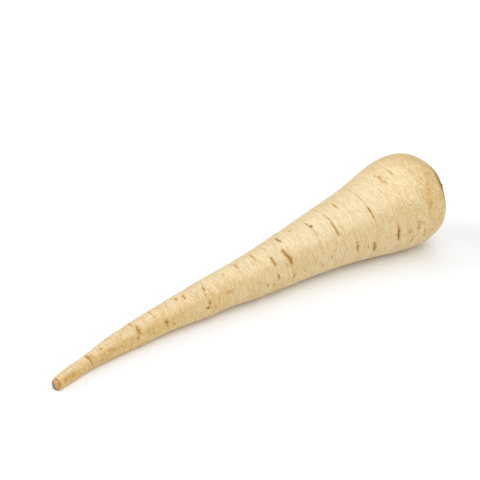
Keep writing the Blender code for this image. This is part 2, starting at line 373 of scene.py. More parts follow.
class Weave(Enum):
    """The skin's noises: for each its cells a metre along and across, its detail and its roughness."""

    BROAD = ((40.0, 60.0), 3.0, 0.5)
    BANDS = ((420.0, 28.0), 2.0, 0.6)
    RINGS = ((600.0, 60.0), 2.0, 0.55)
    FINE = ((1000.0, 210.0), 2.0, 0.7)
    SHORT = ((1400.0, 500.0), 2.0, 0.7)
    SPECKLE = ((1500.0, 1500.0), 1.0, 0.7)
    SCURF = ((420.0, 420.0), 3.0, 0.65)
    ALONG = ((150.0, 800.0), 2.0, 0.6)
    TICKS = ((900.0, 230.0), 1.0, 0.5)
    RAGGED = ((1500.0, 500.0), 3.0, 0.65)


@dataclass(frozen=True)
class Mark:
    """Lines or specks of one tone, drawn where a noise passes between two heights.

    Where it is creased, it is drawn where the noise passes one half, and the second height is its width.
    """

    weave: Weave
    ends: Ends
    share: float
    tone: str
    kept_to: str = "everywhere"
    creased: bool = False


MARKS = (
    Mark(Weave.BANDS, (0.50, 0.72), 0.22, "line", "lined"),
    Mark(Weave.BANDS, (0.50, 0.28), 0.28, "pale", "lined"),
    Mark(Weave.FINE, (0.48, 0.68), 0.40, "line", "lined"),
    Mark(Weave.FINE, (0.50, 0.30), 0.50, "pale", "lined"),
    Mark(Weave.SHORT, (0.50, 0.70), 0.34, "line", "lined"),
    Mark(Weave.SHORT, (0.50, 0.30), 0.45, "pale", "lined"),
    Mark(Weave.RINGS, (0.0, 0.035), 0.42, "line", "lined", True),
    Mark(Weave.TICKS, (0.69, 0.80), 0.60, "line", "lined"),
    Mark(Weave.ALONG, (0.52, 0.76), 0.36, "line", "streaked"),
    Mark(Weave.SPECKLE, (0.52, 0.74), 0.26, "line"),
    Mark(Weave.SPECKLE, (0.48, 0.26), 0.34, "pale"),
    Mark(Weave.SHORT, (0.50, 0.70), 0.30, "brown", "spots"),
    Mark(Weave.SCURF, (0.0, 0.05), 0.70, "brown", "spots", True),
)


@dataclass(frozen=True)
class SkinFinish(Finish):
    """Thin waxy cream skin: fine lines across, ochre patches, brown scars and darker flecks."""

    cream: Colour = (0.835, 0.665, 0.37)
    pale: Colour = (0.92, 0.785, 0.515)
    # The painted highlight's colour: a paler cream laid along the top of the root, where the light falls.
    painted_highlight: Colour = (0.93, 0.835, 0.64)
    gold: Colour = (0.785, 0.505, 0.145)
    ochre: Colour = (0.62, 0.415, 0.115)
    line: Colour = (0.57, 0.37, 0.125)
    scar: Colour = (0.55, 0.31, 0.045)
    rust: Colour = (0.58, 0.25, 0.035)
    amber: Colour = (0.66, 0.37, 0.075)
    bark: Colour = (0.25, 0.125, 0.016)
    fleck: Colour = (0.14, 0.077, 0.02)
    pale_edge: Ends = (0.35, 0.65)
    pale_share: float = 0.25
    streak_edge: Ends = (-0.4, 1.1)
    blotch_noise: Ends = (0.35, 0.65)
    blotch_break: Ends = (0.0, 1.9)
    blotch_edge: Ends = (0.05, 0.85)
    stain_noise: Ends = (0.3, 0.7)
    stain_break: Ends = (0.30, 1.50)
    stain_edge: Ends = (0.05, 0.42)
    bark_edge: Ends = (0.50, 1.0)
    fleck_edge: Ends = (0.15, 0.8)
    worn_ends: Ends = (0.3, 1.2)
    smoother: float = 0.04
    rougher: float = 0.26
    glow: float = 0.12
    glow_reach: Colour = (1.0, 0.55, 0.25)
    glow_depth: float = 2.5 * MM
    relief: float = 0.14 * MM

    def make(self, mottle: bpy.types.NodeTree) -> bpy.types.Material:
        """Build the material.

        From the ground up: cream that turns paler or golden in places, a painted highlight (a paler colour
        along the top, where the light falls), mottles, bands and fine lines across the root, faint lines
        along it, specks, ochre blotches, then the scars' ochre and bark, and flecks.

        Args:
            mottle: the shared mottle effect.

        Returns:
            The material, which reads the skin's own place and tones.
        """
        material, bench, shader = self.start()
        place = bench.read("place", "Vector")
        tone = {name: bench.read(name) for name in TONES}
        noise = {weave: bench.noise(place, *weave.value) for weave in Weave}
        # The warmth tone is the root's own golden colour, plus painted shade that deepens it on the
        # underside.
        warmth, stain = tone["warmth"], tone["stain"]
        ground = bench.mix(bench.times(bench.grade(noise[Weave.BROAD], self.pale_edge), self.pale_share),
                           self.cream, self.pale)
        # Painted highlight: the top of the root is mixed towards a paler colour, as the light falls there.
        ground = bench.mix(tone["painted_highlight"], bench.mix(warmth, ground, self.gold), self.painted_highlight)
        brown = bench.mix(warmth, self.ochre, self.amber)
        colour, grain = self.lay_mottle(bench, mottle, place, tone["spots"], (ground, brown))
        tints = {"line": self.line, "pale": self.pale, "brown": brown}
        limits = {**tone, "streaked": bench.grade(warmth, self.streak_edge), "everywhere": 1.0}
        for mark in MARKS:
            drawn = (bench.crease(noise[mark.weave], mark.ends[1]) if mark.creased
                     else bench.grade(noise[mark.weave], mark.ends))
            share = bench.times(bench.times(drawn, limits[mark.kept_to]), mark.share)
            colour = bench.mix(share, colour, tints[mark.tone])
        tanned = bench.times(tone["blotch"], bench.carry(noise[Weave.SCURF], self.blotch_noise,
                                                         self.blotch_break))
        worn = bench.times(stain, bench.carry(noise[Weave.RAGGED], self.stain_noise, self.stain_break))
        for share, ends, tint in ((tanned, self.blotch_edge, brown),
                                  (worn, self.stain_edge, bench.mix(warmth, self.scar, self.rust)),
                                  (worn, self.bark_edge, self.bark),
                                  (tone["fleck"], self.fleck_edge, self.fleck)):
            colour = bench.mix(bench.grade(share, ends), colour, tint)
        rough = bench.carry(bench.sum_up("ADD", noise[Weave.FINE], stain), self.worn_ends,
                            (self.roughness - self.smoother, self.roughness + self.rougher))
        self.dress(bench, shader, colour, rough, (noise[Weave.FINE], grain), self.relief)
        shader.inputs["Subsurface Weight"].default_value = self.glow
        shader.inputs["Subsurface Radius"].default_value = self.glow_reach
        shader.inputs["Subsurface Scale"].default_value = self.glow_depth
        return material


@dataclass(frozen=True)
class CorkFinish(Finish):
    """Dry brown cork and cut stalk: streaky sides and paler, pithy cut tops."""

    dark: Colour = (0.10, 0.058, 0.028)
    mid: Colour = (0.27, 0.165, 0.075)
    pith: Colour = (0.50, 0.36, 0.19)
    streak_cells: Ends = (260.0, 1500.0)
    streak_edge: Ends = (0.3, 0.7)
    pith_edge: Ends = (0.15, 0.6)
    mottle_cells: Ends = (420.0, 1900.0)
    mottle_share: float = 0.7
    unevenness: float = 0.1
    depth: float = 0.25 * MM

    def make(self, mottle: bpy.types.NodeTree) -> bpy.types.Material:
        """Build the material.

        Args:
            mottle: the shared mottle effect.

        Returns:
            The material, which reads the piece's own place and the share of it that is cut open.
        """
        material, bench, shader = self.start()
        place, cut = bench.read("place", "Vector"), bench.read("cut")
        streak = bench.noise(place, self.streak_cells, 3.0, 0.65)
        ground = bench.mix(bench.grade(streak, self.streak_edge), self.dark, self.mid)
        ground = bench.mix(bench.times(cut, bench.grade(streak, self.pith_edge)), ground, self.pith)
        colour, grain = self.lay_mottle(bench, mottle, place, self.mottle_share, (ground, self.dark))
        rough = bench.carry(streak, (0.0, 1.0), (self.roughness - self.unevenness,
                                                 self.roughness + self.unevenness))
        self.dress(bench, shader, colour, rough, (streak, grain), self.depth)
        return material


# ---------------------------------------------------------------- the taproot

@dataclass(frozen=True)
class Ring:
    """A shallow crease round the whole root, in millimetres."""

    station: float
    depth: float


@dataclass(frozen=True)
class Scar:
    """A sunk, lens-shaped mark across the root, in millimetres and degrees."""

    station: float
    angle: float
    span: float
    depth: float
    width: float = 0.55
    stain: float = 0.8
    slant: float = 0.0
    bow: float = 0.0


@dataclass(frozen=True)
class Lump:
    """A gentle swelling or hollow of the root's flank, in millimetres and degrees."""

    station: float
    angle: float
    length: float
    spread: float
    height: float


@dataclass(frozen=True)
class Patch:
    """A soft spot of one tone: its middle, its reach along and round the root in millimetres, its share.

    It ends where the distance from its middle, counted in its two reaches, is its edge.
    """

    station: float
    angle: float
    along: float
    around: float
    share: float
    edge: float = 1.7

    def at(self, station: Array, angle: Array, girth: Array) -> Array:
        """Read its strength: a bump of the distance, which is counted in its own two reaches."""
        around = turn_between(angle, math.radians(self.angle)) * girth / self.around
        return self.share * smooth_bump(np.hypot((station - self.station) / self.along, around), self.edge)


@dataclass(frozen=True)
class FaceMark:
    """A tone on the snapped face of the tip.

    Its place round the face is in degrees and its width there in radians. Its place outwards and its
    reach there are shares of the face's radius.
    """

    angle: float
    width: float
    out: float
    reach: float
    share: float

    def at(self, out: Array, angle: Array) -> Array:
        """Read its strength: its share times a bump round the face times a bump outwards."""
        around = smooth_bump(turn_between(angle, math.radians(self.angle)), self.width)
        return self.share * around * smooth_bump(out - self.out, self.reach)


class Texture(Enum):
    """The skin's textures: each one's noise, and its relief in millimetres on the flank and the shoulder."""

    LINES = (Grain(1, 240, 28), 0.028, 0.028)
    FINE_LINES = (Grain(2, 340, 60), 0.0224, 0.0224)
    BROAD = (Grain(3, 13, 6), 0.08, 0.08)
    UNEVEN = (Grain(4, 46, 13), 0.05, 0.05)
    GRAINY = (Grain(5, 200, 90), 0.015, 0.06)
    HOOPS = (Grain(10, 36, 3), 0.13, 0.0)


RINGS = tuple(Ring(*row) for row in (
    (18.9, 0.30), (26.5, 0.14), (31.5, 0.10), (46.0, 0.24), (56.9, 0.18), (61.5, 0.14), (75.6, 0.14),
    (85.6, 0.14), (99.0, 0.12), (107.6, 0.14), (118.0, 0.14), (125.7, 0.16), (134.2, 0.16), (144.5, 0.10),
    (154.0, 0.12), (165.3, 0.14), (174.0, 0.12), (184.5, 0.10), (187.4, 0.10), (199.0, 0.12),
    (209.0, 0.10),
))

LUMPS = tuple(Lump(*row) for row in (
    (3, 135, 9, 80, 0.35), (6, 313, 12, 80, 0.4), (19, 137, 12, 70, -0.45), (20, 314, 13, 80, -0.4),
    (46, 142, 20, 60, 0.4), (75, 220, 30, 60, 0.4), (83, 138, 15, 50, 0.45), (115, 318, 24, 60, -0.5),
    (121, 140, 26, 55, 0.6), (140, 240, 30, 50, -0.5), (166, 318, 24, 60, 0.4), (169, 140, 24, 55, -0.5),
    (195, 250, 26, 45, 0.5), (202, 145, 18, 45, 0.7), (216, 333, 22, 55, 1.05), (225, 131, 14, 40, -0.95),
    (231, 96, 9, 42, 0.75), (232, 33, 8, 34, 0.5),
))

SCARS = tuple(Scar(*row) for row in (
    (3.8, 60, 28, 0.2, 0.6, 0.8), (8.2, 38, 40, 0.06, 0.5, 0.3), (18.9, -14, 100, 0.2, 0.75, 0.62),
    (18.9, 18, 36, 0.2, 0.75, 0.75), (18.8, 62, 80, 0.3, 0.45, 0.6), (26.5, 19, 24, 0.2, 0.5, 0.85),
    (26.6, -22, 50, 0.1, 0.3, 0.3), (29.5, 58, 8, 0.08, 1.4, 0.4, 1.2), (31.6, -13, 18, 0.1, 0.3, 0.45),
    (35.7, 71, 12, 0.08, 0.5, 0.7), (45.4, -14, 70, 0.25, 0.5, 0.55, 0.3),
    (46.6, 44, 38, 0.4, 0.8, 0.85, 0.3), (46.9, 24, 14, 0.15, 0.7, 0.65, 0.5),
    (44.9, 76, 20, 0.2, 0.6, 0.7), (53.5, 90, 18, 0.12, 0.6, 0.6), (56.9, -16, 58, 0.15, 0.45, 0.6, 0.2),
    (57.2, 24, 16, 0.08, 0.5, 0.6), (61.6, 69, 20, 0.3, 1.2, 0.6, 0.3), (61.2, 84, 14, 0.15, 0.5, 0.45),
    (65.6, 69, 10, 0.1, 0.3, 0.5, 0.3), (65.2, 90, 14, 0.12, 0.45, 0.7), (71.7, 3, 22, 0.15, 0.5, 0.85),
    (75.7, 10, 26, 0.35, 0.75, 0.72, -0.2), (86.3, 19, 26, 0.3, 0.55, 0.85, -0.2),
    (85.3, 44, 14, 0.12, 0.45, 0.45), (85.9, 72, 16, 0.15, 0.75, 0.75), (84.2, 86, 12, 0.2, 1.0, 0.8),
    (88.9, 95, 8, 0.12, 0.4, 0.6, 0.3), (93.5, 78, 10, 0.1, 0.35, 0.4),
    (97.5, 66, 8, 0.04, 2.5, 0.22, 2.0), (99.1, 11, 20, 0.12, 0.4, 0.45),
    (107.8, 5, 30, 0.25, 0.5, 0.55, -0.2), (107.4, 36, 46, 0.08, 0.28, 0.3),
    (112.2, 20, 50, 0.05, 0.25, 0.22), (118.0, 7, 36, 0.2, 0.45, 0.62, -0.2),
    (119.0, 95, 12, 0.12, 0.55, 0.7, 0.3), (122.6, 103, 16, 0.15, 0.5, 0.8, -0.4),
    (126.0, 2, 30, 0.12, 0.35, 0.35), (125.6, 45, 36, 0.45, 0.95, 0.5, 0.1),
    (125.6, 35, 10, 0.15, 0.5, 0.7), (125.9, 85, 20, 0.3, 0.65, 0.95, 0.2),
    (135.7, -1, 28, 0.4, 0.65, 1.0, -0.2), (133.4, 38, 26, 0.5, 1.15, 0.7, 0.2),
    (134.3, 57, 30, 0.65, 1.15, 0.78, 0.1, 0.4), (131.8, 66, 10, 0.12, 0.8, 0.45),
    (135.0, 98, 18, 0.2, 0.7, 0.5, -0.3), (141.7, 95, 10, 0.1, 0.5, 0.45),
    (144.6, -3, 18, 0.12, 0.8, 0.32), (143.0, 67, 8, 0.04, 1.8, 0.2, 1.2),
    (152.6, 101, 16, 0.12, 0.5, 0.45), (153.9, 8, 30, 0.25, 0.55, 0.45, 0.2),
    (154.8, 14, 7, 0.2, 1.1, 0.85), (154.4, 30, 34, 0.2, 0.35, 0.5, 0.3),
    (158.2, 90, 14, 0.12, 0.6, 0.45), (165.3, 15, 24, 0.25, 0.5, 0.4),
    (165.1, 42, 36, 0.5, 0.85, 0.5, 0.1), (165.4, 106, 12, 0.12, 0.5, 0.45),
    (173.8, 2, 26, 0.3, 1.0, 0.46, -0.2), (174.1, 90, 20, 0.35, 0.55, 0.85, 0.1),
    (174.1, 79, 5, 0.1, 1.0, 0.5), (180.4, 95, 14, 0.12, 0.6, 0.42),
    (184.4, 101, 24, 0.45, 1.0, 0.82, 0.2), (187.4, 41, 14, 0.35, 0.6, 0.85),
    (187.4, 52, 16, 0.35, 0.55, 0.6), (187.2, 18, 36, 0.1, 0.3, 0.25),
    (198.9, 92, 28, 0.5, 0.9, 0.85, -0.3), (198.6, 97, 12, 0.3, 0.6, 0.9),
    (202.6, 8, 30, 0.2, 0.6, 0.36, -0.3), (203.6, 13, 28, 0.2, 0.6, 0.36, -0.2),
    (209.0, 9, 16, 0.15, 0.5, 0.6), (208.2, 60, 5, 0.1, 0.4, 0.6), (207.8, 112, 14, 0.2, 0.5, 0.6, -0.5),
    (211.0, 91, 14, 0.15, 1.2, 0.24), (215.4, 103, 14, 0.15, 0.8, 0.36, 0.3),
    (219.5, 68, 10, 0.12, 1.5, 0.14),
))

PATCHES = tuple(Patch(*row) for row in (
    (8.0, 39, 1.2, 1.4, 0.5), (8.2, 64, 1.6, 1.4, 0.7), (5.8, 50, 1.2, 1.2, 0.5),
    (3.8, 88, 1.0, 1.0, 0.7), (20.2, 45, 0.9, 3.2, 0.5), (24.8, 91, 2.0, 1.2, 0.6),
    (28.5, 61, 4.0, 0.9, 0.7), (28.8, 79, 2.5, 0.7, 0.5), (32.8, 73, 4.0, 0.8, 0.6),
    (46.6, 44, 1.7, 3.4, 0.6), (61.6, 69, 1.8, 2.0, 0.5), (97.5, 66, 2.4, 1.6, 0.4),
    (134.2, 50, 2.0, 5.0, 0.4), (198.9, 97, 1.3, 3.0, 0.5), (205.5, 95, 1.4, 1.6, 0.6),
    (206.5, 98, 1.2, 2.0, 0.5), (209.0, 70, 2.0, 2.4, 0.3), (211.0, 90, 1.1, 3.6, 0.95),
    (211.3, 84, 0.9, 1.2, 0.8), (213.0, 87, 0.9, 0.9, 0.7), (214.5, 47, 1.1, 1.3, 0.4),
    (215.7, 109, 1.0, 1.2, 0.6), (217.3, 55, 1.2, 1.4, 0.4), (218.2, 71, 1.0, 1.8, 0.6),
    (211.8, 117, 1.0, 1.4, 0.7), (214.2, 88, 2.2, 1.0, 0.5), (214.8, 104, 1.0, 1.6, 0.7),
    (218.0, 92, 0.9, 1.0, 0.5), (219.0, 68, 1.7, 1.9, 0.8), (221.0, 49, 1.6, 2.2, 0.6),
    (220.0, 55, 1.4, 1.6, 0.5), (222.8, 96, 1.2, 1.2, 0.5), (224.2, 90, 1.4, 1.0, 0.7),
    (225.5, 32, 1.2, 1.6, 0.45), (226.5, 86, 1.3, 1.8, 0.65), (227.0, 65, 1.6, 1.6, 0.65),
))

FLECKS = tuple(Patch(station, angle, size, 1.25 * size, 1.0, 1.3) for station, angle, size in (
    (3.8, 62, 0.3), (61.6, 66, 0.35), (65.2, 10, 0.5), (84.6, 86, 0.55), (134.5, 64, 0.4),
    (135.7, -8, 0.4), (154.9, 14, 0.6), (184.5, 104, 0.5), (187.4, 38, 0.4), (198.7, 96, 0.5),
))


@dataclass(frozen=True)
class RootForm:
    """The root's smooth form: a turned profile, and the shallow curve that it is laid along."""

    length: float = 240.0 * MM
    tip_radius: float = 2.7 * MM
    taper: float = 0.0705
    flare: float = 13.4 * MM
    flare_power: float = 4.16
    shoulder_start: float = 178.6 * MM
    shoulder_power: float = 6.97
    shoulder_rounding: float = 1.43
    tip_bevel: float = 0.45 * MM
    tip_slant: float = 0.9 * MM
    tip_swing: float = 8.7 * MM
    tip_swing_end: float = 79.7 * MM
    tip_swing_power: float = 2.76
    crown_swing: float = 5.6 * MM
    crown_swing_start: float = 137.9 * MM
    middle_lift: float = 1.2 * MM
    lift_start: float = 15.0 * MM
    lift_end: float = 195.0 * MM
    nod_length: float = 30.0 * MM
    shoulder_sink: float = 0.6 * MM
    sink_middle: float = 198.0 * MM
    sink_width: float = 52.0 * MM
    tip_sink: float = 0.25 * MM
    tip_sink_middle: float = 13.0 * MM
    tip_sink_width: float = 20.0 * MM
    straight_from: float = 233.0 * MM
    seat_radius: float = 10.3 * MM
    seat_depth: float = 1.2 * MM
    seat_search: float = 8.0 * MM
    search_count: int = 20001
    step: float = 0.5 * MM

    def full_radius(self, station: Array) -> Array:
        """Give the radius before the shoulder rounds it off: a straight taper and a late flare."""
        flare = self.flare * (station / self.length) ** self.flare_power
        return self.tip_radius + self.taper * station + flare

    def radius(self, station: Array) -> Array:
        """Give the smooth radius: the full one, brought to nothing by the shoulder's curve."""
        reach = np.clip((station - self.shoulder_start) / (self.length - self.shoulder_start), 0.0, 1.0)
        rounding = (1.0 - reach ** self.shoulder_power) ** (1.0 / self.shoulder_rounding)
        return self.full_radius(station) * rounding

    def seat_station(self) -> float:
        """Find where the rounded top is as wide as the crown's seat, from a fine run of stations."""
        run = np.linspace(self.length - self.seat_search, self.length, self.search_count)
        return float(run[np.argmin(np.abs(self.radius(run) - self.seat_radius))])

    def line(self, station: Array) -> Array:
        """Give points on the curve that the root follows.

        The tip and the crown both swing towards -Y. The height is the full radius, so that the underside
        lies along the surface, with the middle lifted and the two resting places pressed down.

        Args:
            station: distances from the tip.

        Returns:
            The points, one for each station.
        """
        tip_reach = np.clip(1.0 - station / self.tip_swing_end, 0.0, 1.0)
        crown_run = self.length - self.crown_swing_start
        crown_reach = np.clip((station - self.crown_swing_start) / crown_run, 0.0, None)
        swing = -self.tip_swing * tip_reach ** self.tip_swing_power - self.crown_swing * crown_reach ** 2
        reach = np.clip((station - self.lift_start) / (self.lift_end - self.lift_start), 0.0, 1.0)
        height = self.full_radius(np.minimum(station, self.lift_end))
        height = height + self.middle_lift * np.sin(math.pi * reach) ** 2
        share = (self.lift_end / self.length) ** (self.flare_power - 1.0)
        slope = self.taper + self.flare * self.flare_power / self.length * share
        past = np.clip(station - self.lift_end, 0.0, None)
        height = height + slope * (past - past * past / (2.0 * self.nod_length))
        height = height - self.shoulder_sink * smooth_bump(station - self.sink_middle, self.sink_width)
        height = height - self.tip_sink * smooth_bump(station - self.tip_sink_middle, self.tip_sink_width)
        return np.stack([station, swing, height], axis=-1)

    def lay(self, station: Array, angle: Array, radius: Array) -> Array:
        """Place points of the turned form round the curve.

        At each station the curve's direction, the way up square to it and the way to -Y make a frame,
        and a point is the curve's point plus its radius along the way that its angle gives.

        Args:
            station: distances from the tip.
            angle: angles from the top towards -Y, in radians.
            radius: distances from the curve.

        Returns:
            The points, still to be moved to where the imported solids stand.
        """
        at = np.clip(station, MM, self.straight_from)
        forward = self.line(at + self.step) - self.line(at - self.step)
        forward /= np.linalg.norm(forward, axis=-1, keepdims=True)
        side = np.cross(forward, np.array([0.0, 0.0, 1.0]))
        side /= np.linalg.norm(side, axis=-1, keepdims=True)
        up = np.cross(side, forward)
        middle = self.line(at) + forward * (station - at)[..., None]
        spoke = np.cos(angle)[..., None] * up + np.sin(angle)[..., None] * side
        return middle + radius[..., None] * spoke


@dataclass
class Taproot:
    """The taproot's skin, from the snapped tip to the seat of the crown.

    Lengths written with MM are in metres, the other depths and distances in millimetres.
    """

    form: RootForm
    columns: int = 132
    side_rows: int = 712
    face_rows: int = 9
    face_ends: Ends = (0.12, 0.97)
    edge_rows: int = 4
    dense_count: int = 20000
    seat_shares: Shares = (0.25, 0.7, 1.0)
    floor_shares: Shares = (0.8, 0.45, 0.15)
    seat_fade: float = 5.0 * MM
    edge_fade: int = 3
    skin_inset: float = 0.08 * MM
    ring_width: float = 1.2 * MM
    ring_lip: float = 0.4
    ring_stain: float = 0.20
    ring_wave: float = 0.7 * MM
    ring_drift: float = 40.0
    jag_reach: float = 0.32
    groove_edge: float = 1.3
    lip_place: float = 1.7
    lip_height: float = 0.2
    core_edge: float = 1.1
    core_stain: float = 1.15
    fringe_edge: float = 1.9
    fringe_stain: float = 0.42
    aura_stain: float = 0.5
    scars_a_ring: int = 2
    hidden_side: Ends = (125.0, 315.0)
    hidden_spans: Ends = (26.0, 54.0)
    hidden_depths: Ends = (0.25, 0.55)
    shoulder: Ends = (0.86, 0.965)
    tone_shares: Shares = (0.0, 0.08, 0.25, 0.45, 0.67, 0.83, 0.88, 0.94, 1.0)
    warmth: Shares = (1.0, 1.0, 0.75, 0.36, 0.16, 0.18, 0.26, 0.42, 0.6)
    # Painted highlight: how strong the paler band along the top is, from the tip to the crown.
    painted_highlight: Shares = (0.55, 0.58, 0.56, 0.44, 0.30, 0.28, 0.20, 0.16, 0.0)
    spots: Shares = (0.55, 0.40, 0.26, 0.14, 0.08, 0.12, 0.38, 0.90, 1.0)
    lined: Shares = (0.75, 0.72, 0.85, 0.82, 0.80, 0.80, 0.72, 0.55, 0.35)
    face_tear: float = 0.14
    face_swell: float = 0.35
    face_stain: float = 0.34
    face_stain_limit: float = 0.6
    face_warmth: float = 0.45
    face_marks: tuple[FaceMark, ...] = (FaceMark(95.0, 1.5, 0.72, 0.26, 0.35),
                                        FaceMark(165.0, 1.1, 0.45, 0.5, -0.25))
    # A darker patch near the rim of the tip's face, low on its far side.
    dark_face_patch: FaceMark = FaceMark(228.0, 1.6, 0.8, 0.6, 1.7)
    collar_width: float = 8.4 * MM
    collar_drift: float = 2.8 * MM
    collar_turn: float = 10.0
    collar_rag: float = 1.1
    collar_edge: float = 4.0 * MM
    collar_stain: float = 0.5
    rim_mark: float = 0.55
    cork_reach: Ends = (9.5, 12.8)
    cork_spacing: float = 2.4
    cork_stain: float = 0.14
    cork_near: float = 3.0
    wrinkle_depth: float = 0.28
    wrinkle_stain: float = 0.42
    seed: int = 17

    def __post_init__(self) -> None:
        """Work out the shift from the form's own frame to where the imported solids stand."""
        low, high = (np.array(corner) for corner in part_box("taproot"))
        own = self.plain_points()
        self.shift = 0.5 * (low + high) - 0.5 * (own.min(axis=0) + own.max(axis=0))
        self.shift[2] = 0.0

    def plain_points(self) -> Array:
        """Give the smooth form's points with its lumps, to measure its place by."""
        station, radius, along, out = self.profile()
        station, angle = np.meshgrid(station, even_turn(self.columns), indexing="ij")
        lumps = self.lumps(station, angle)
        return self.form.lay(station + along[:, None] * lumps, angle,
                             radius[:, None] + out[:, None] * lumps).reshape(-1, 3)

    def profile(self) -> tuple[Array, Array, Array, Array]:
        """Run the profile from the middle of the tip's face to the middle of the seat.

        The face, its rounded edge, the flank and the seat follow one another. The flank's points are
        spaced evenly along its own curve, so the rounded shoulder is as fine as the rest.

        Returns:
            For each row its station and radius, and the outward direction's parts along and out.
        """
        form = self.form
        edge, top = form.tip_radius - form.tip_bevel, form.seat_station()
        face = np.linspace(*self.face_ends, self.face_rows) * edge
        corner = np.linspace(0.0, 0.5 * math.pi, self.edge_rows + 1)[:-1]
        dense = np.linspace(form.tip_bevel, top, self.dense_count)
        run = run_along(dense, form.radius(dense))
        even = np.interp(np.linspace(0.0, run[-1], self.side_rows), run, dense)
        seat = np.array(self.seat_shares) * form.seat_depth
        floor = np.array(self.floor_shares) * form.seat_radius
        station = np.concatenate([np.zeros(len(face)), form.tip_bevel * (1.0 - np.cos(corner)), even,
                                  top - seat, np.full(len(floor), top - form.seat_depth)])
        radius = np.concatenate([face, edge + form.tip_bevel * np.sin(corner), form.radius(even),
                                 np.full(len(seat), form.seat_radius), floor])
        step_along, step_out = np.gradient(station), np.gradient(radius)
        size = np.hypot(step_along, step_out)
        return station, radius, -step_out / size, step_along / size

    def lumps(self, station: Array, angle: Array) -> Array:
        """Add up the lumps: each one is a bump along the root times a bump round it."""
        height = np.zeros_like(station)
        for lump in LUMPS:
            along = smooth_bump(station - lump.station * MM, lump.length * MM)
            height += lump.height * MM * along * bump_round(angle, lump.angle, lump.spread)
        return height

    def all_scars(self) -> list[Scar]:
        """Give the listed scars, and those drawn round the side that they leave free."""
        draw = random.Random(self.seed)
        scars = list(SCARS)
        low, high = self.hidden_side
        share = (high - low) / self.scars_a_ring
        for ring in RINGS:
            for place in range(self.scars_a_ring):
                angle = low + share * (place + draw.uniform(0.2, 0.8))
                span, depth = draw.uniform(*self.hidden_spans), draw.uniform(*self.hidden_depths)
                width, stain = 0.4 + 0.8 * depth, 0.4 + 0.7 * depth
                scars.append(Scar(ring.station, angle, 0.8 * span, depth, width, stain))
        return scars

    def wave(self, station: Array, angle: Array) -> Array:
        """Give how far the rings wander along the root, so that none of them is a true circle."""
        steady = smooth_bump(station - 0.45 * self.form.length, 0.5 * self.form.length)
        drift = self.ring_drift * station
        wander = np.sin(angle + drift) + 0.5 * np.sin(2.0 * (angle - drift))
        return self.ring_wave * steady * wander / 1.5

    def press(self, scar: Scar, station: Array, angle: Array, jag: Array) -> tuple[Array, Array, Array]:
        """Press one scar into the skin.

        Its middle line runs round the root with a slant, a bow, a small wander and a jag. Across that
        line it is a groove with a low lip on each side, and both fade out towards its two ends. The stain
        is deep in the groove and lighter beside it, and a soft ochre aura lies round both.

        Args:
            scar: the scar.
            station: distances from the tip.
            angle: angles round the root.
            jag: noise that makes the middle line jagged.

        Returns:
            The height that it adds, how brown it makes each point, and how ochre.
        """
        reach = turn_between(angle, math.radians(scar.angle)) / math.radians(0.5 * scar.span)
        inside = np.clip(1.0 - reach * reach, 0.0, 1.0)
        wander = 0.2 * np.sin(7.0 * reach + scar.station) + 0.1 * np.sin(17.0 * reach + 3.0 * scar.station)
        waver = (wander + self.jag_reach * jag) * min(1.0, 1.2 * scar.width)
        away = station / MM - (scar.station + scar.slant * reach + (scar.bow + waver) * inside)
        offset = away / (scar.width * (0.35 + 0.65 * inside))
        ends = np.sqrt(inside)
        groove = smooth_bump(offset, self.groove_edge) * ends
        lip = smooth_bump(np.abs(offset) - self.lip_place, 1.0) * inside
        core = self.core_stain * smooth_bump(offset, self.core_edge) * ends
        fringe = self.fringe_stain * smooth_bump(offset, self.fringe_edge) * ends
        aura = self.aura_stain * smooth_bump(away / (1.0 + 1.8 * scar.width), 1.0) * np.sqrt(ends)
        height = scar.depth * MM * (self.lip_height * lip - groove)
        return height, scar.stain * np.maximum(core, fringe), scar.stain * aura

    def relief(self, station: Array, angle: Array) -> tuple[Array, Array, Array]:
        """Work out the skin's relief, and the tones of its rings and scars.

        The relief adds lumps, shallow rings that come and go round the root, scars, and the textures:
        fine lines across, broad unevenness, a grain that coarsens on the shoulder and soft hoops that
        end before it.

        Args:
            station: distances from the tip.
            angle: angles round the root.

        Returns:
            The height of each point, how brown it is, and how ochre.
        """
        share = station / self.form.length
        along = station - self.wave(station, angle)
        height = self.lumps(station, angle) - self.skin_inset
        stain, blotch = np.zeros_like(station), np.zeros_like(station)
        for index, ring in enumerate(RINGS):
            strength = 0.6 + 0.4 * Grain(100 + index, 1, 7).at(np.zeros_like(angle), angle)
            away = along - ring.station * MM
            across = smooth_bump(away, self.ring_width)
            lip = smooth_bump(away - 1.4 * self.ring_width, 1.3 * self.ring_width)
            height += ring.depth * MM * strength * (self.ring_lip * lip - across)
            stain = np.maximum(stain, self.ring_stain * smooth_bump(away, 0.35 * self.ring_width) * strength)
        jag = Grain(30, 220, 110).at(share, angle)
        for scar in self.all_scars():
            pressed, browned, tanned = self.press(scar, station, angle, jag)
            height += pressed
            stain, blotch = np.maximum(stain, browned), np.maximum(blotch, tanned)
        shoulder = smooth_step(share, *self.shoulder)
        for grain, flank, raised in (texture.value for texture in Texture):
            height += MM * (flank + (raised - flank) * shoulder) * grain.at(share, angle)
        return height, stain, blotch

    def tones(self, station: Array, angle: Array) -> tuple[Array, ...]:
        """Work out the tones that lie on the skin whatever its relief.

        Args:
            station: distances from the tip.
            angle: angles round the root.

        Returns:
            How far each point is ochre in a patch, flecked, warm (more so on the underside, as painted
            shade), pale from the painted highlight along the top, spotted and lined.
        """
        share, girth = station / self.form.length, self.form.radius(station) / MM
        patched, flecked = (np.maximum.reduce([patch.at(station / MM, angle, girth) for patch in patches])
                            for patches in (PATCHES, FLECKS))
        patchy = 1.0 + 0.35 * Grain(6, 26, 9).at(share, angle) + 0.25 * Grain(9, 60, 21).at(share, angle)
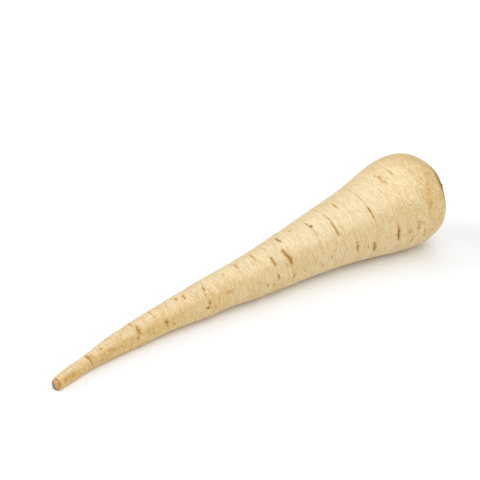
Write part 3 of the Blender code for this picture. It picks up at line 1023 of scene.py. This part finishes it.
        # Painted shade: 0.16 of warmth is added on the underside, standing in for its darker, bounce-lit
        # tone.
        under, flank = bump_round(angle, 130.0, 95.0), bump_round(angle, 85.0, 75.0)
        # Painted highlight: a band along the top of the root, where the light falls.
        painted_highlight_band = bump_round(angle - 0.15 * share, -4.0, 40.0)
        warmth, painted_highlight, spots, lined = (np.interp(share, self.tone_shares, tone) for tone in (
            self.warmth, self.painted_highlight, self.spots, self.lined))
        return (patched, flecked, (warmth + 0.16 * under) * patchy, painted_highlight * painted_highlight_band * (0.6 + 0.4 * patchy),
                spots * (0.4 + 0.4 * patchy + 0.9 * flank), lined * (0.55 + 0.45 * patchy))

    def face(self, out: Array, angle: Array) -> tuple[Array, Array, Array]:
        """Work out the tip's snapped face, which swells in the middle and is torn along its spokes.

        Args:
            out: distances from the middle of the face, in shares of the tip's radius.
            angle: angles round the root.

        Returns:
            The height that it adds, how brown it makes each point, and how dark.
        """
        spokes = Grain(7, 4, 17).at(out, angle)
        height = MM * (self.face_tear * spokes + self.face_swell * (1.0 - out ** 2))
        stain = self.face_stain + 0.35 * spokes + 0.15 * smooth_bump(out - 0.95, 0.3)
        stain = stain + sum(mark.at(out, angle) for mark in self.face_marks)
        return height, np.minimum(stain, self.face_stain_limit), self.dark_face_patch.at(out, angle)

    def cork(self, inner: Array, angle: Array) -> tuple[Array, Array, Array]:
        """Work out the rough collar round the seat, whose broken wrinkles run round the crown.

        Args:
            inner: distances outwards from the rim of the seat along the skin, in millimetres.
            angle: angles round the root.

        Returns:
            The height that it adds, how brown it makes each point, and how dark.
        """
        share = np.clip(inner / self.cork_reach[1], 0.0, 1.0)
        wander = Grain(40, 4, 9).at(share, angle) + 0.4 * Grain(41, 9, 26).at(share, angle)
        broken = 0.5 + 0.5 * Grain(42, 7, 29).at(share, angle)
        wrinkle = (0.5 + 0.5 * np.sin(FULL_TURN * (inner / self.cork_spacing + 0.5 * wander))) ** 3
        near = smooth_bump(inner, self.cork_near)
        height = -self.wrinkle_depth * wrinkle * broken * smooth_step(inner, 0.5, 2.0)
        stain = self.cork_stain + self.wrinkle_stain * wrinkle * broken
        stain = stain + self.cork_stain * np.abs(wander) + 0.45 * near
        fleck = 0.5 * wrinkle * broken ** 2 + 0.4 * near * broken
        there = 1.0 - smooth_step(inner, *self.cork_reach)
        return MM * height * there, stain * there, fleck * there

    def rim(self, station: Array, inner: Array, angle: Array) -> tuple[Array, Array]:
        """Work out the ragged edge where the skin dries towards the crown, outside the cork.

        Args:
            station: distances from the tip.
            inner: distances outwards from the rim of the seat along the skin, in millimetres.
            angle: angles round the root.

        Returns:
            How brown it makes each point, and how dark.
        """
        share = station / self.form.length
        ragged = self.collar_rag * MM * Grain(8, 60, 15).at(share, angle)
        drift = self.collar_drift * np.cos(angle - math.radians(self.collar_turn))
        start = self.form.seat_station() - (self.collar_width + drift - ragged)
        collar = smooth_step(station, start, start + self.collar_edge)
        outside = smooth_step(inner, *self.cork_reach)
        mark = self.rim_mark * (1.0 + 0.35 * Grain(43, 60, 41).at(share, angle)) * outside
        return self.collar_stain * collar * outside, mark * smooth_step(collar, 0.55, 1.0)

    def surface(self) -> Surface:
        """Build the skin.

        The relief fades out at the tip's edge and at the seat, the face leans a little, and no point
        goes below the surface that the root lies on.

        Returns:
            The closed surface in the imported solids' frame, with its place and its tones.
        """
        form = self.form
        row_station, row_radius, row_along, row_out = self.profile()
        station, angle = np.meshgrid(row_station, even_turn(self.columns), indexing="ij")
        radius = np.broadcast_to(row_radius[:, None], station.shape)
        out = radius / form.tip_radius
        inner_rows = len(self.seat_shares) + len(self.floor_shares)
        run = np.broadcast_to(run_along(row_station, row_radius)[:, None], station.shape)
        inner = np.clip(run[-1 - inner_rows] - run, 0.0, None) / MM
        row = np.arange(len(row_station))[:, None]
        edge = int(np.count_nonzero(row_station <= form.tip_bevel)) - 1
        on_face = np.where(row < edge, 1.0, 0.0)
        on_skin = smooth_step(row.astype(float), edge - self.edge_fade, edge + self.edge_fade)
        on_skin = np.where(row >= len(row) - inner_rows, 0.0, on_skin)
        near_seat = 1.0 - smooth_bump(station - form.seat_station(), self.seat_fade)
        height, stain, blotch = self.relief(station, angle)
        patched, fleck, warmth, painted_highlight, spots, lined = self.tones(station, angle)
        torn, browned, face_dark_patch = self.face(out, angle)
        wrinkles, corky, cracked = self.cork(inner, angle)
        dried, darkened = self.rim(station, inner, angle)
        height = height * on_skin * near_seat + wrinkles + on_face * torn
        lean = form.tip_slant * smooth_bump(station, 4.0 * form.tip_slant) * radius / form.tip_radius
        moved = station + row_along[:, None] * height + lean * np.cos(angle)
        points = form.lay(moved, angle, radius + row_out[:, None] * height) + self.shift
        points[..., 2] = np.maximum(points[..., 2], 0.0)
        stain = np.maximum.reduce([stain, on_face * browned, dried]) + corky
        fleck = np.maximum.reduce([fleck, on_face * face_dark_patch, darkened]) + cracked
        warmth = warmth + self.face_warmth * on_face
        tones = (stain, np.maximum(blotch, patched), fleck, warmth, painted_highlight, spots, lined)
        values = {name: np.clip(tone, 0.0, 1.0) for name, tone in zip(TONES, tones)}
        values["place"] = np.stack([run, radius * np.cos(angle), radius * np.sin(angle)], axis=-1)
        return Surface(points, values)

    def build(self, finish: bpy.types.Material) -> bpy.types.Object:
        """Make the piece, dress it and let it stand for the plain taproot.

        Args:
            finish: the skin's material.

        Returns:
            The piece.
        """
        piece = mesh_from("taproot_skin", [self.surface()])
        piece.data.materials.append(finish)
        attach(piece, "root")
        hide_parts("taproot")
        return piece


# ---------------------------------------------------------------- the crown

@dataclass(frozen=True)
class Whorl:
    """One ring of leaf-stalk stubs on the crown, in millimetres and degrees."""

    count: int
    radius: float
    span: float
    thickness: float
    height: float
    turn: float


WHORLS = (
    Whorl(6, 8.4, 50, 1.5, 1.7, 8),
    Whorl(5, 5.6, 58, 1.4, 2.6, 40),
    Whorl(3, 3.0, 84, 1.3, 3.4, 15),
    Whorl(1, 9.6, 24, 1.8, 5.3, 37),
)


@dataclass
class Crown:
    """The corky crown on the shoulder, with the whorls of cut leaf stalks.

    Lengths written with MM are in metres, the other depths in millimetres.
    """

    taproot: Taproot
    radius: float = 10.0 * MM
    overlap: float = 0.45 * MM
    collar: float = 0.5 * MM
    dome: float = 1.3 * MM
    rings: int = 3
    ring_height: float = 0.25 * MM
    gap: float = 0.3 * MM
    rim_wave: float = 0.18 * MM
    rim_rise: float = 0.08 * MM
    foot_rows: int = 8
    top_rows: int = 74
    columns: int = 216
    ridges: float = 9.0
    ridge_height: float = 0.16
    crumbs: Ends = (0.10, 0.07)
    cut_share: float = 0.25
    stub_root: float = 1.2 * MM
    stub_lean: float = 0.5 * MM
    stub_columns: int = 56
    stub_rows: tuple[int, int, int] = (4, 16, 9)
    oval_power: float = 0.75
    rib_share: float = 0.07
    horn_thinning: float = 0.55
    horn_drop: float = 0.35
    top_thinning: float = 0.25
    cut_slant: float = 0.12
    cut_ragged: float = 0.22
    cut_dish: float = 0.3
    seed: int = 17

    def __post_init__(self) -> None:
        """Take the depth and the floor of the seat from the taproot that the crown sits on."""
        self.seat = self.taproot.form.seat_depth
        self.foot = self.taproot.form.seat_station() - self.seat

    def top(self, radius: Array) -> Array:
        """Give the crown's top over the seat's floor: a dome with low rings."""
        reach = radius / self.radius
        ripple = 0.5 - 0.5 * np.cos(FULL_TURN * self.rings * reach)
        return self.seat + self.collar + self.dome * (1.0 - reach * reach) + self.ring_height * ripple

    def closed(self, angle: Array, radius: Array, height: Array, cut: Array) -> Surface:
        """Place rows of points over the seat's floor, round the root's line, and give them their values.

        Args:
            angle: angles round the root's line.
            radius: distances from that line.
            height: heights over the seat's floor.
            cut: how far each point is cut open.

        Returns:
            The closed surface.
        """
        points = self.taproot.form.lay(self.foot + height, angle, radius) + self.taproot.shift
        place = np.stack([height, radius * np.cos(angle), radius * np.sin(angle)], axis=-1)
        return Surface(points, {"place": place, "cut": cut})

    def disc(self) -> Surface:
        """Build the corky disc: out along its foot, over its uneven rim and back along its ridged top.

        Returns:
            The closed surface.
        """
        angle, level = even_turn(self.columns), np.ones(self.columns)
        uneven = Grain(20, 1, 27).at(0.0 * level, angle)
        rim = self.radius + self.rim_wave * uneven
        foot_radius = np.linspace(0.1, 1.0, self.foot_rows)[:, None] * (self.radius * level)
        skirt_radius = np.stack([rim, rim + self.overlap, rim + 0.8 * self.overlap])
        skirt_height = np.stack([0.85 * self.seat * level, (self.seat + 0.1 * self.collar) * level,
                                 self.seat + 0.75 * self.collar + self.rim_rise * uneven])
        top_radius = np.linspace(1.0, 0.02, self.top_rows)[:, None] * rim
        spread = np.broadcast_to(angle, top_radius.shape)
        reach = np.clip(top_radius / self.radius, 0.0, 1.0)
        crumble = (self.crumbs[0] * Grain(21, 22, 60).at(reach, spread)
                   + self.crumbs[1] * Grain(22, 40, 110).at(reach, spread))
        wander = 1.2 * Grain(23, 6, 9).at(reach, spread)
        ridges = self.ridge_height * np.sin(FULL_TURN * self.ridges * reach + wander)
        top_height = self.top(top_radius) + MM * (crumble + ridges) * smooth_step(reach, 0.0, 0.15)
        radius = np.concatenate([foot_radius, skirt_radius, top_radius])
        height = np.concatenate([np.full(foot_radius.shape, self.gap), skirt_height, top_height])
        cut = np.concatenate([np.zeros((self.foot_rows + len(skirt_radius), self.columns)),
                              self.cut_share * (1.0 + Grain(24, 12, 20).at(reach, spread))])
        return self.closed(np.broadcast_to(angle, radius.shape), radius, height, cut)

    def stub(self, whorl: Whorl, turn: float, seed: int) -> Surface:
        """Build one crescent stub of a cut leaf stalk, its horns bent round the crown.

        Its section is a flattened oval whose long way follows the whorl. The sides rise from inside the
        crown with fine ribs, the cut rim is ragged, and the top sinks a little into pale pith.

        Args:
            whorl: the whorl that it stands in, with this stub's own height.
            turn: where its middle is, in radians.
            seed: what its ribs and its ragged rim are drawn from.

        Returns:
            The closed surface.
        """
        under, side, over = self.stub_rows
        lifted = np.concatenate([np.zeros(under), np.linspace(0.0, 1.0, side), np.ones(over)])
        inward = np.concatenate([np.linspace(0.15, 0.9, under), np.ones(side), np.linspace(0.93, 0.08, over)])
        around, lifted = np.meshgrid(even_turn(self.stub_columns), lifted, indexing="xy")
        inward = np.broadcast_to(inward[:, None], around.shape)
        on_top = np.where(np.arange(len(inward)) >= under + side, 1.0, 0.0)[:, None]
        oval_reach, oval_across = (np.sign(part) * np.abs(part) ** self.oval_power
                                   for part in (-np.cos(around), np.sin(around)))
        ribs = 1.0 + self.rib_share * Grain(seed, 2, 19).at(lifted, around)
        reach, across = oval_reach * inward, oval_across * inward * ribs
        thinned = (1.0 - self.horn_thinning * reach * reach) * (1.0 - self.top_thinning * lifted)
        tall = whorl.height * MM * (1.0 - self.horn_drop * reach * reach - self.cut_slant * across)
        ragged = self.cut_ragged * Grain(seed + 1, 3, 23).at(0.5 * inward, around) * lifted ** 3
        dish = self.cut_dish * on_top * smooth_step(1.0 - inward, 0.05, 0.6)
        base = float(self.top(np.array(whorl.radius * MM))) - self.stub_root
        height = base + (self.stub_root + tall) * lifted + MM * (ragged - dish)
        radius = whorl.radius * MM - self.stub_lean * lifted + 0.5 * across * whorl.thickness * MM * thinned
        angle = turn + 0.5 * math.radians(whorl.span) * reach
        cut = on_top * (0.55 + 0.45 * smooth_step(1.0 - inward, 0.02, 0.25)) + 0.12 * lifted
        return self.closed(angle, radius, height, np.clip(cut, 0.0, 1.0))

    def stubs(self) -> list[Surface]:
        """Build every stub, each turned and cut off a little differently.

        Returns:
            One closed surface for each stub.
        """
        draw = random.Random(self.seed)
        stubs = []
        for whorl in WHORLS:
            for index in range(whorl.count):
                turn = whorl.turn + 360.0 * index / whorl.count + draw.uniform(-5.0, 5.0)
                grown = replace(whorl, height=whorl.height * draw.uniform(0.8, 1.15))
                stubs.append(self.stub(grown, math.radians(turn), 40 + 2 * len(stubs)))
        return stubs

    def build(self, finish: bpy.types.Material) -> list[bpy.types.Object]:
        """Make the disc and the stubs, dress them and let them stand for the plain crown.

        Args:
            finish: the cork's material.

        Returns:
            The two pieces.
        """
        pieces = [mesh_from("crown_disc", [self.disc()]), mesh_from("stalk_stubs", self.stubs())]
        for piece in pieces:
            piece.data.materials.append(finish)
            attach(piece, "root")
            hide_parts("crown")
        return pieces


# ---------------------------------------------------------------- the studio

class Lamp(Enum):
    """The soft lights: for each its power in watts, its azimuth from +Y towards +X, and its elevation."""

    LEFT = (8.8, 315.0, 25.0)
    FAR_LEFT = (2.2, 270.0, 25.0)
    OVERHEAD = (5.4, 127.0, 70.0)
    BACK = (3.4, 37.0, 70.0)
    FRONT = (7.9, 180.0, 50.0)


@dataclass(frozen=True)
class Studio:
    """The pale ground, the soft lights and the camera."""

    ground_size: float = 6.0
    ground_drop: float = 0.05 * MM
    ground_colour: Colour = (0.922, 0.942, 0.965)
    ground_glow: Ends = (0.08, 1.0)
    glow_reach: Ends = (0.05, 1.2)
    lamp_size: float = 0.70
    lamp_distance: float = 1.30
    sky: float = 0.04
    azimuth: float = -36.67
    elevation: float = 30.0
    lens: float = 75.0
    sensor: float = 36.0
    distance: float = 0.519
    aim: tuple[float, float, float] = (-0.7 * MM, 18.2 * MM, 0.0)

    def lay_ground(self) -> None:
        """Lay the pale ground, which glows a little more further out, and keep it out of the part."""
        half = 0.5 * self.ground_size
        mesh = bpy.data.meshes.new("ground")
        mesh.from_pydata([(x * half, y * half, -self.ground_drop) for x, y in (
            (-1, -1), (1, -1), (1, 1), (-1, 1))], [], [(0, 1, 2, 3)])
        material, bench, shader = Finish("Pale ground", 0.9, 0.1).start()
        shader.inputs["Base Color"].default_value = (*self.ground_colour, 1.0)
        shader.inputs["Emission Color"].default_value = WHITE
        place = bench.add("ShaderNodeTexCoord").outputs["Object"]
        away = bench.add("ShaderNodeVectorMath", {0: place}, operation="LENGTH").outputs["Value"]
        glow = bench.carry(away, self.glow_reach, self.ground_glow, "SMOOTHSTEP")
        bench.tree.links.new(glow, shader.inputs["Emission Strength"])
        mesh.materials.append(material)
        put("ground", mesh)

    def hang_lights(self, middle: Vector) -> None:
        """Hang the soft lights and set the even light of the room.

        Args:
            middle: the point that the lights look at.
        """
        for lamp in Lamp:
            power, azimuth, elevation = lamp.value
            turn, rise = math.radians(azimuth), math.radians(elevation)
            way = Vector((math.sin(turn) * math.cos(rise), math.cos(turn) * math.cos(rise), math.sin(rise)))
            light = bpy.data.lights.new(lamp.name.title(), "AREA")
            light.shape, light.size, light.energy = "SQUARE", self.lamp_size, power
            item = put(lamp.name.title(), light)
            item.location = middle + self.lamp_distance * way
            item.rotation_euler = (-way).to_track_quat("-Z", "Y").to_euler()
        world = bpy.data.worlds.new("Room")
        world.use_nodes = True
        background = world.node_tree.nodes["Background"]
        background.inputs["Color"].default_value = WHITE
        bench = Bench(world.node_tree)
        seen = bench.add("ShaderNodeLightPath").outputs["Is Camera Ray"]
        strength = bench.carry(seen, (0.0, 1.0), (self.sky, 1.0))
        bench.tree.links.new(strength, background.inputs["Strength"])
        bpy.context.scene.world = world

    def stand_camera(self, middle: Vector) -> None:
        """Stand the camera where it looks down along the root towards the crown.

        Args:
            middle: the middle of the parsnip's box.
        """
        turn, rise = math.radians(self.azimuth), math.radians(self.elevation)
        back = Vector((math.sin(turn) * math.cos(rise), -math.cos(turn) * math.cos(rise), math.sin(rise)))
        camera = bpy.data.cameras.new("Camera")
        camera.lens, camera.sensor_width = self.lens, self.sensor
        item = put("Camera", camera)
        item.location = middle + Vector(self.aim) + back * self.distance
        item.rotation_euler = Euler((0.5 * math.pi - rise, 0.0, turn))
        bpy.context.scene.camera = item

    def build(self, low: Vector, high: Vector) -> None:
        """Set the ground, the lights and the camera round a box from its low to its high corner."""
        middle = 0.5 * (low + high)
        self.lay_ground()
        self.hang_lights(middle)
        self.stand_camera(middle)
        bpy.context.scene.view_settings.view_transform = "Standard"


def main() -> None:
    """Build the studio, then the parsnip's pieces in order, and log each piece's count of faces."""
    logging.basicConfig(level=logging.INFO, format="%(name)s: %(message)s")
    Studio().build(*(Vector(corner) for corner in SOLID_BOX))
    mottle = mottle_group()
    skin = SkinFinish("Parsnip skin", 0.46, 0.9).make(mottle)
    cork = CorkFinish("Dry cork", 0.82, 0.25).make(mottle)
    taproot = Taproot(RootForm())
    pieces = [taproot.build(skin), *Crown(taproot).build(cork)]
    for piece in pieces:
        LOG.info("%s: %d faces", piece.name, len(piece.data.polygons))


if __name__ == "__main__":
    main()
